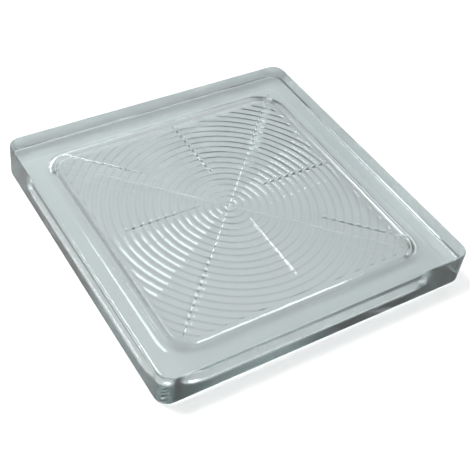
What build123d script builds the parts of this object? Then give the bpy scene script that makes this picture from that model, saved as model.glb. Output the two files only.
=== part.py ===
import os
from math import radians, sqrt, tan

from build123d import *

# Square walk-on floor tile of clear pressed glass, lying with its walking face up.
# +Z is up and the origin is the centre of the face it rests on. Sizes are in millimetres.

# Outer block
side = 198.0
thickness = 22.0
corner_radius = 8.0
edge_rounding = 1.5

# Recess pressed into the underside, which leaves a plain bearing rim round it
rim_width = 17.5
recess_depth = 5.0
recess_corner_radius = 15.0
wall_slope = 31.0
mouth_rounding = 8.0
ceiling_rounding = 1.5

# Concentric waves that spread the light, on the ceiling of the recess
ring_pitch = 5.0
ring_first_radius = 4.0
ring_height = 0.4
ring_margin = 2.5

# Grip bars on the walking face: four along the middles and four towards the corners
bar_width = 3.0
bar_height = 0.6
bar_slope = 45.0
middle_bar_start = 21.0
middle_bar_end = 69.0
corner_bar_start = 53.0
corner_bar_end = 103.0

# How far a wave's foot runs into the glass that carries it
root = 0.2

# Places that follow from the sizes above
mouth_width = side - 2 * rim_width
wall_run = recess_depth * tan(radians(wall_slope))
ceiling_width = mouth_width - 2 * wall_run
ceiling_corner_radius = recess_corner_radius - wall_run
field_width = ceiling_width - 2 * ring_margin
field_corner_radius = ceiling_corner_radius - ring_margin
ring_limit = field_width / 2 * sqrt(2) - field_corner_radius * (sqrt(2) - 1)
ring_count = int((ring_limit - ring_first_radius) / ring_pitch) + 1
ring_radii = [ring_first_radius + ring_pitch * n for n in range(ring_count)]

# The waves are turned as one set with a triangular section, then cut to a field inside the ceiling's edge
with BuildPart() as ring_waves:
    with BuildSketch(Plane.XZ):
        for radius in ring_radii:
            with BuildLine():
                Polyline(
                    (radius - ring_pitch / 2, recess_depth + root),
                    (radius - ring_pitch / 2, recess_depth),
                    (radius, recess_depth - ring_height),
                    (radius + ring_pitch / 2, recess_depth),
                    (radius + ring_pitch / 2, recess_depth + root),
                    close=True,
                )
            make_face()
    revolve(axis=Axis.Z)
    with BuildSketch(Plane.XY.offset(recess_depth - ring_height)):
        RectangleRounded(field_width, field_width, field_corner_radius)
    extrude(amount=ring_height + root, mode=Mode.INTERSECT)

with BuildPart() as tile:
    with BuildSketch(Plane.XY):
        RectangleRounded(side, side, corner_radius)
    extrude(amount=thickness)
    fillet(tile.edges().group_by(Axis.Z)[-1], edge_rounding)
    fillet(tile.edges().group_by(Axis.Z)[0], edge_rounding)
    with BuildSketch(Plane.XY):
        RectangleRounded(mouth_width, mouth_width, recess_corner_radius)
    extrude(amount=recess_depth, taper=wall_slope, mode=Mode.SUBTRACT)
    ceiling = tile.faces().filter_by(Plane.XY).sort_by(Axis.Z)[1]
    fillet(ceiling.edges(), ceiling_rounding)
    rest_face = tile.faces().filter_by(Plane.XY).sort_by(Axis.Z)[0]
    fillet(rest_face.inner_wires()[0].edges(), mouth_rounding)
    add(ring_waves.part)
    # Grip bars stand on the walking face and narrow upwards
    with BuildSketch(Plane.XY.offset(thickness)):
        with PolarLocations((middle_bar_start + middle_bar_end) / 2, 4):
            Rectangle(middle_bar_end - middle_bar_start, bar_width)
        with PolarLocations((corner_bar_start + corner_bar_end) / 2, 4, start_angle=45):
            Rectangle(corner_bar_end - corner_bar_start, bar_width)
    extrude(amount=bar_height, taper=bar_slope)

os.makedirs("parts", exist_ok=True)
tile.part.label = "glass_tile"
export_step(tile.part, "parts/glass_tile.step")
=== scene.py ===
from math import atan2, cos, hypot, pi, radians, sin, sqrt

import bmesh
import bpy
from mathutils import Euler, Matrix, Vector


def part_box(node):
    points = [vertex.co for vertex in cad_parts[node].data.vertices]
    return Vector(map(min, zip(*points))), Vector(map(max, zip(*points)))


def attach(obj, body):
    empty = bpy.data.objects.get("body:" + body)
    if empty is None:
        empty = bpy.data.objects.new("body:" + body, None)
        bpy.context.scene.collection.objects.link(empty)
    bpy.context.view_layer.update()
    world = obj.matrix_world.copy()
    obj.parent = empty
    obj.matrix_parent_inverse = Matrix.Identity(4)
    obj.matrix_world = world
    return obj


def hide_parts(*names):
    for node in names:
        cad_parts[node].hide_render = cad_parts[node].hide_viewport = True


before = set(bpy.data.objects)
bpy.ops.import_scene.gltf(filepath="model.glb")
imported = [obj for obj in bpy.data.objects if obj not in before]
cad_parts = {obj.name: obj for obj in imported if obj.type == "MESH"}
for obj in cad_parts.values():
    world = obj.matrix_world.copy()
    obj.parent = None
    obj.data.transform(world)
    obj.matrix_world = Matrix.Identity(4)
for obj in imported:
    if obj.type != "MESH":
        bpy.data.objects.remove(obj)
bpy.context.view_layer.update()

# Camera: a short telephoto look down on the near corner, a little from the right.
# Its place and turn match the outline of the tile in the photograph, taken as 470 x 470.
camera = bpy.data.objects.new("camera", bpy.data.cameras.new("camera"))
bpy.context.collection.objects.link(camera)
bpy.context.scene.camera = camera
camera.location = (0.3185, -0.2437, 0.3875)
camera.rotation_euler = Euler((radians(45.765), radians(-4.488), radians(60.183)))
camera.data.sensor_width = 36.0
camera.data.lens = 71.5
camera.data.shift_x = 0.0979
camera.data.shift_y = -0.0380
camera.data.clip_start = 0.01
bpy.context.scene.view_settings.view_transform = "Standard"

# Glass tile: one block of soda-lime glass pressed in a mould, 198 mm square and 22 mm thick.
# The walking face is flat, with eight low grip bars. The underside is hollowed, which leaves
# a bearing rim, and its ceiling carries concentric waves and two fine straight ribs.
tile_low, tile_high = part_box("glass_tile")
half_side = (tile_high[0] - tile_low[0]) / 2
bar_height = 0.0006
top_level = tile_high[2] - bar_height
corner_radius = 0.008
edge_rounding = 0.0015
mouth_half = 0.082
mouth_corner_radius = 0.015
mouth_rounding = 0.010
ceiling_level = 0.005
wall_run = 0.0042
ceiling_rounding = 0.0015
relief_margin = 0.0018
relief_fade = 0.0012
ring_pitch = 0.005
ring_first_radius = 0.004
ring_height = 0.0004
cross_rib_width = 0.0008
cross_rib_height = 0.0003
middle_bar = (0.021, 0.069)
corner_bar = (0.053, 0.103)
bar_width = 0.003

# A narrow flat loop beside each rounding holds the shading of the flat faces flat
hold = 0.00015

# How finely the curves are parted, and how near two vertices are when they are one
corner_segments = 12
corner_cuts = 10
arc_steps = 8
mouth_arc_steps = 24
wave_steps = 8
turn_steps = 288
bar_steps = 6
near = 1e-6

relief_half = mouth_half - wall_run - relief_margin
relief_corner_radius = mouth_corner_radius - wall_run - relief_margin
corner_centre = relief_half - relief_corner_radius


def rounded_square(mesh, half, radius, level):
    """A square outline with rounded corners, as its vertices in order from the corner of +X and +Y."""
    signs = ((1, 1), (-1, 1), (-1, -1), (1, -1))
    corners = [mesh.verts.new((x * half, y * half, level)) for x, y in signs]
    mesh.faces.new(corners)
    made = bmesh.ops.bevel(mesh, geom=corners, offset=radius, affect="VERTICES",
                           segments=corner_segments, profile=0.5, material=-1)
    face = made["verts"][0].link_faces[0]
    outline = list(face.verts)
    x_before_y = 1000
    first = max(range(len(outline)),
                key=lambda n: outline[n].co.x * x_before_y + outline[n].co.y)
    mesh.faces.remove(face)
    return outline[first:] + outline[:first]


def rib(distance, width, height):
    """Height of a rib with a rounded crest at this distance from its middle."""
    crest_sharpness = 1.5
    if abs(distance) > width / 2:
        return 0.0
    return height * ((1 + cos(2 * pi * distance / width)) / 2) ** crest_sharpness


def outline_distance(x, y):
    """How far a point of the ceiling lies inside the relief's rounded outline."""
    over_x = max(abs(x) - corner_centre, 0.0)
    over_y = max(abs(y) - corner_centre, 0.0)
    inner = min(max(abs(x), abs(y)) - corner_centre, 0.0)
    return relief_corner_radius - hypot(over_x, over_y) - inner


def cut(mesh, direction, distance, wanted=lambda face: True, clear=False):
    """Cuts the wanted faces along an upright plane, and may clear away what lies beyond it."""
    mesh.normal_update()
    faces = [f for f in mesh.faces if wanted(f)]
    parts = faces + [e for f in faces for e in f.edges] + [v for f in faces for v in f.verts]
    bmesh.ops.bisect_plane(mesh, geom=list(dict.fromkeys(parts)), plane_co=direction * distance,
                           plane_no=direction, clear_outer=clear)


def turned(angle, vector=(1, 0, 0)):
    """A vector turned about the upright axis."""
    return Matrix.Rotation(angle, 3, "Z") @ Vector(vector)


def in_corner(face, middle):
    """Whether a face lies in the quarter that the corner's arc rounds."""
    centre = face.calc_center_median()
    beside = min(abs(centre.x), abs(centre.y)) > corner_centre
    return beside and (centre - middle).length < 3 * relief_corner_radius


# Ceiling: the waves are turned from one profile, cut to a rounded square and faded at its edge
relief = bmesh.new()
outer_radius = relief_half * sqrt(2) + ring_pitch
ring_count = int((outer_radius - ring_first_radius) / ring_pitch) + 1
stations = [0.0]
for ring in range(ring_count):
    crest = ring_first_radius + ring * ring_pitch
    stations += [crest + ring_pitch * (step / wave_steps - 0.5) for step in range(wave_steps + 1)]
profile = [relief.verts.new((r, 0, ceiling_level)) for r in stations]
profile_edges = [relief.edges.new(pair) for pair in zip(profile, profile[1:])]
bmesh.ops.spin(relief, geom=profile + profile_edges, axis=(0, 0, 1), cent=(0, 0, 0),
               angle=2 * pi, steps=turn_steps, use_merge=True)
bmesh.ops.remove_doubles(relief, verts=relief.verts, dist=near)
for turn in range(4):
    cut(relief, turned(turn * pi / 2), relief_half, clear=True)
for turn in range(4):
    middle = turned(turn * pi / 2, (corner_centre, corner_centre, 0))
    for step in range(corner_cuts):
        direction = turned((turn + (step + 0.5) / corner_cuts) * pi / 2)
        reach = middle.dot(direction) + relief_corner_radius
        cut(relief, direction, reach, lambda f: in_corner(f, middle), clear=True)
for turn in range(4):
    cut(relief, turned(turn * pi / 2), relief_half - relief_fade)
beside_rib = 0.004
for diagonal in (pi / 4, 3 * pi / 4):
    direction = turned(diagonal)
    for offset in (-0.5, -0.25, 0, 0.25, 0.5):
        cut(relief, direction, offset * cross_rib_width,
            lambda f: abs(f.calc_center_median().dot(direction)) < beside_rib)
for vertex in relief.verts:
    x, y, level = vertex.co
    radius = hypot(x, y)
    ring = round((radius - ring_first_radius) / ring_pitch)
    depth = rib(radius - ring_first_radius - max(ring, 0) * ring_pitch, ring_pitch, ring_height)
    for aside in (abs(x - y) / sqrt(2), abs(x + y) / sqrt(2)):
        depth += rib(aside, cross_rib_width, cross_rib_height)
    fade = min(max(outline_distance(x, y) / relief_fade, 0.0), 1.0)
    vertex.co.z = level - depth * fade


def fillet_points(corner, before, after, radius, steps):
    """Points of the arc that rounds a corner of the section, in the plane of (inset, level)."""
    to_before = (Vector(before) - Vector(corner)).normalized()
    to_after = (Vector(after) - Vector(corner)).normalized()
    half_angle = to_before.angle(to_after) / 2
    reach = radius / sin(half_angle) * cos(half_angle)
    centre = Vector(corner) + (to_before + to_after).normalized() * radius / sin(half_angle)
    start = Vector(corner) + to_before * reach - centre
    turn = start.angle_signed(Vector(corner) + to_after * reach - centre)
    return [centre + Matrix.Rotation(-turn * step / steps, 2) @ start for step in range(steps + 1)]


# Body: one section, from the ceiling over the bearing rim and up the side, carried round the tile.
# The length called some_way only says which way a line of the section leaves its corner.
some_way = 0.01
foot_corner = (wall_run, ceiling_level)
hollow = fillet_points(foot_corner, (wall_run + some_way, ceiling_level), (0.0, 0.0),
                       ceiling_rounding, arc_steps)
hollow += fillet_points((0.0, 0.0), foot_corner, (-some_way, 0.0), mouth_rounding, mouth_arc_steps)
hollow = [hollow[0] + Vector((hold, 0))] + hollow + [hollow[-1] - Vector((hold, 0))]
block = fillet_points((0.0, 0.0), (some_way, 0.0), (0.0, some_way), edge_rounding, arc_steps)
block += fillet_points((0.0, top_level), (0.0, 0.0), (some_way, top_level), edge_rounding, arc_steps)
block = [block[0] + Vector((hold, 0))] + block + [block[-1] + Vector((hold, 0))]
tile_mesh = bmesh.new()
loops = [rounded_square(tile_mesh, mouth_half - inset, mouth_corner_radius - inset, level)
         for inset, level in hollow]
loops += [rounded_square(tile_mesh, half_side - inset, corner_radius - inset, level)
          for inset, level in block]
for one, other in zip(loops, loops[1:]):
    for n in range(len(one)):
        tile_mesh.faces.new((one[n - 1], one[n], other[n], other[n - 1]))
tile_mesh.faces.new(loops[-1])


def bearing(vertex, outline):
    """The direction of a vertex from the tile's middle, one turn on past the end of its outline."""
    return atan2(vertex.co.y, vertex.co.x) + (2 * pi if vertex is outline[0] else 0)


def fill_band(mesh, one, other):
    """Fills the flat band between two closed outlines round the middle with triangles."""
    past_all = 10.0
    one = sorted(one, key=lambda v: atan2(v.co.y, v.co.x))
    other = sorted(other, key=lambda v: atan2(v.co.y, v.co.x))
    ahead = {id(o): [bearing(v, o) for v in o[1:] + o[:1]] + [past_all] for o in (one, other)}
    i = j = 0
    while i < len(one) or j < len(other):
        a, b = one[i % len(one)], other[j % len(other)]
        if ahead[id(one)][i] <= ahead[id(other)][j]:
            i += 1
            mesh.faces.new((a, b, one[i % len(one)]))
        else:
            j += 1
            mesh.faces.new((a, b, other[j % len(other)]))


# The ceiling's relief joins the foot of the recess wall
relief_data = bpy.data.meshes.new("relief")
relief.to_mesh(relief_data)
relief.free()
tile_mesh.from_mesh(relief_data)
bpy.data.meshes.remove(relief_data)
border = [v for v in tile_mesh.verts if v.is_boundary and v not in loops[0]]
fill_band(tile_mesh, border, loops[0])


def on_top(face):
    """Whether a face is part of the flat walking face."""
    nearly_upright = 0.9999
    level = face.calc_center_median().z
    return face.normal.z > nearly_upright and abs(level - top_level) < near


# Walking face: it is parted into eight sectors, each scored round its bar, which is inset upwards
flat_half = half_side - edge_rounding - hold
for turn in range(4):
    cut(tile_mesh, turned(pi / 8 + turn * pi / 4, (0, 1, 0)), 0.0,
        lambda f: on_top(f) and max(map(abs, f.calc_center_median().xy)) < flat_half)
sector_slope = 2.5
clear_of_middle = 0.001
beside_bar = bar_width * 0.45
inside_bar = bar_width * 0.1
quarter = pi / 2 / bar_steps
narrowing = (bar_width / 2 - hold) / (bar_steps + 0.5)
for turn in range(8):
    along = turned(turn * pi / 4)
    across = turned(turn * pi / 4, (0, 1, 0))
    start, end = middle_bar if turn % 2 == 0 else corner_bar

    def lies(face):
        """Where a face lies along the bar and beside its middle line."""
        return face.calc_center_median().dot(along), abs(face.calc_center_median().dot(across))

    for side in (-1, 1):
        cut(tile_mesh, across, side * bar_width / 2,
            lambda f: on_top(f) and lies(f)[0] > max(lies(f)[1] * sector_slope, clear_of_middle))
    for distance in (start, end):
        cut(tile_mesh, along, distance,
            lambda f: on_top(f) and lies(f)[0] > 0 and lies(f)[1] < beside_bar)
    foot = [f for f in tile_mesh.faces
            if on_top(f) and lies(f)[1] < inside_bar and start < lies(f)[0] < end]
    bmesh.ops.inset_region(tile_mesh, faces=foot, thickness=hold, use_even_offset=True)
    for step in range(bar_steps):
        rise = bar_height * (sin((step + 1) * quarter) - sin(step * quarter))
        bmesh.ops.inset_region(tile_mesh, faces=foot, thickness=narrowing, depth=rise,
                               use_even_offset=True)
bmesh.ops.remove_doubles(tile_mesh, verts=tile_mesh.verts, dist=near / 10)
bmesh.ops.recalc_face_normals(tile_mesh, faces=tile_mesh.faces)
for face in tile_mesh.faces:
    face.smooth = True
tile_data = bpy.data.meshes.new("pressed_tile")
tile_mesh.to_mesh(tile_data)
tile_mesh.free()
sharp_angle = radians(60)
tile_data.set_sharp_from_angle(angle=sharp_angle)
pressed_tile = bpy.data.objects.new("pressed_tile", tile_data)
bpy.context.collection.objects.link(pressed_tile)
even_shading = pressed_tile.modifiers.new("even_shading", "WEIGHTED_NORMAL")
even_shading.weight = 50
even_shading.keep_sharp = True

glass = bpy.data.materials.new("pressed_glass")
glass.use_nodes = True
nodes, links = glass.node_tree.nodes, glass.node_tree.links
surface = nodes["Principled BSDF"]
surface.inputs["Base Color"].default_value = (0.97, 0.99, 0.99, 1)
surface.inputs["IOR"].default_value = 1.52
surface.inputs["Transmission Weight"].default_value = 1.0
position = nodes.new("ShaderNodeTexCoord")

# The sides keep a little of the mould's skin, while the rest is fire-polished
apart = nodes.new("ShaderNodeVectorMath")
apart.operation = "ABSOLUTE"
links.new(position.outputs["Object"], apart.inputs[0])
axes = nodes.new("ShaderNodeSeparateXYZ")
links.new(apart.outputs["Vector"], axes.inputs["Vector"])
outward = nodes.new("ShaderNodeMath")
outward.operation = "MAXIMUM"
links.new(axes.outputs["X"], outward.inputs[0])
links.new(axes.outputs["Y"], outward.inputs[1])
skin = nodes.new("ShaderNodeMapRange")
skin.inputs["From Min"].default_value = half_side - edge_rounding
skin.inputs["From Max"].default_value = half_side
skin.inputs["To Max"].default_value = 0.20
links.new(outward.outputs["Value"], skin.inputs["Value"])
links.new(skin.outputs["Result"], surface.inputs["Roughness"])

# Pressed glass is faintly wavy all over
waviness = nodes.new("ShaderNodeTexNoise")
waviness.inputs["Scale"].default_value = 90.0
waviness.inputs["Detail"].default_value = 1.0
links.new(position.outputs["Object"], waviness.inputs["Vector"])
ripple = nodes.new("ShaderNodeBump")
ripple.inputs["Strength"].default_value = 0.25
ripple.inputs["Distance"].default_value = 0.0002
links.new(waviness.outputs["Fac"], ripple.inputs["Height"])
links.new(ripple.outputs["Normal"], surface.inputs["Normal"])

# The iron in the glass takes red out of the light that goes through it
tint = nodes.new("ShaderNodeVolumeAbsorption")
tint.inputs["Color"].default_value = (0.50, 0.80, 0.80, 1)
tint.inputs["Density"].default_value = 6.0
links.new(tint.outputs["Volume"], nodes["Material Output"].inputs["Volume"])
pressed_tile.data.materials.append(glass)
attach(pressed_tile, "root")
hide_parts("glass_tile")

# Floor: a plain sheet of white paper, laid flat just under the tile. It is pale to the camera
# only: every other ray finds it greyer, which darkens what is seen through the glass.
floor_half = 2.0
floor_level = -0.0001
floor_mesh = bmesh.new()
bmesh.ops.create_grid(floor_mesh, x_segments=1, y_segments=1, size=floor_half)
floor_data = bpy.data.meshes.new("floor")
floor_mesh.to_mesh(floor_data)
floor_mesh.free()
floor = bpy.data.objects.new("floor", floor_data)
floor_data.transform(Matrix.Translation((0, 0, floor_level)))
bpy.context.collection.objects.link(floor)
paper = bpy.data.materials.new("paper")
paper.use_nodes = True
nodes, links = paper.node_tree.nodes, paper.node_tree.links
nodes["Principled BSDF"].inputs["Roughness"].default_value = 0.9
path = nodes.new("ShaderNodeLightPath")
shade = nodes.new("ShaderNodeMapRange")
shade.inputs["To Min"].default_value = 0.50
shade.inputs["To Max"].default_value = 0.90
links.new(path.outputs["Is Camera Ray"], shade.inputs["Value"])
links.new(shade.outputs["Result"], nodes["Principled BSDF"].inputs["Base Color"])
floor.data.materials.append(paper)

# Studio: white to the camera only. The sky gives light from above and from both ends of the
# X axis, and two softboxes throw the bright lines through the glass.
world = bpy.data.worlds.new("studio")
bpy.context.scene.world = world
world.use_nodes = True
nodes, links = world.node_tree.nodes, world.node_tree.links
sky = nodes["Background"]
sky.inputs["Color"].default_value = (1, 1, 1, 1)
direction = nodes.new("ShaderNodeTexCoord")
heading = nodes.new("ShaderNodeSeparateXYZ")
links.new(direction.outputs["Generated"], heading.inputs["Vector"])
overhead = nodes.new("ShaderNodeMapRange")
overhead.inputs["From Min"].default_value = 0.5
overhead.inputs["To Min"].default_value = 0.1
overhead.inputs["To Max"].default_value = 1.4
links.new(heading.outputs["Z"], overhead.inputs["Value"])
sideways = nodes.new("ShaderNodeMath")
sideways.operation = "ABSOLUTE"
links.new(heading.outputs["X"], sideways.inputs[0])
side_share = 0.5
strength = nodes.new("ShaderNodeMath")
strength.operation = "MULTIPLY_ADD"
strength.inputs[1].default_value = side_share
links.new(sideways.outputs["Value"], strength.inputs[0])
links.new(overhead.outputs["Result"], strength.inputs[2])
links.new(strength.outputs["Value"], sky.inputs["Strength"])
white = nodes.new("ShaderNodeBackground")
white.inputs["Color"].default_value = (1, 1, 1, 1)
white.inputs["Strength"].default_value = 1.0
path = nodes.new("ShaderNodeLightPath")
mix = nodes.new("ShaderNodeMixShader")
links.new(path.outputs["Is Camera Ray"], mix.inputs["Fac"])
links.new(sky.outputs["Background"], mix.inputs[1])
links.new(white.outputs["Background"], mix.inputs[2])
links.new(mix.outputs["Shader"], nodes["World Output"].inputs["Surface"])


def softbox(name, spot, width, height, watts):
    """Adds a rectangular lamp that faces the tile."""
    data = bpy.data.lights.new(name, "AREA")
    data.shape = "RECTANGLE"
    data.size = width
    data.size_y = height
    data.energy = watts
    lamp = bpy.data.objects.new(name, data)
    lamp.location = spot
    lamp.rotation_euler = (-Vector(spot)).to_track_quat("-Z", "Y").to_euler()
    bpy.context.collection.objects.link(lamp)


softbox("key", (-0.50, -0.28, 1.05), width=0.5, height=0.5, watts=15)
softbox("strip", (0.9, 0.1, 0.15), width=0.8, height=0.2, watts=5)
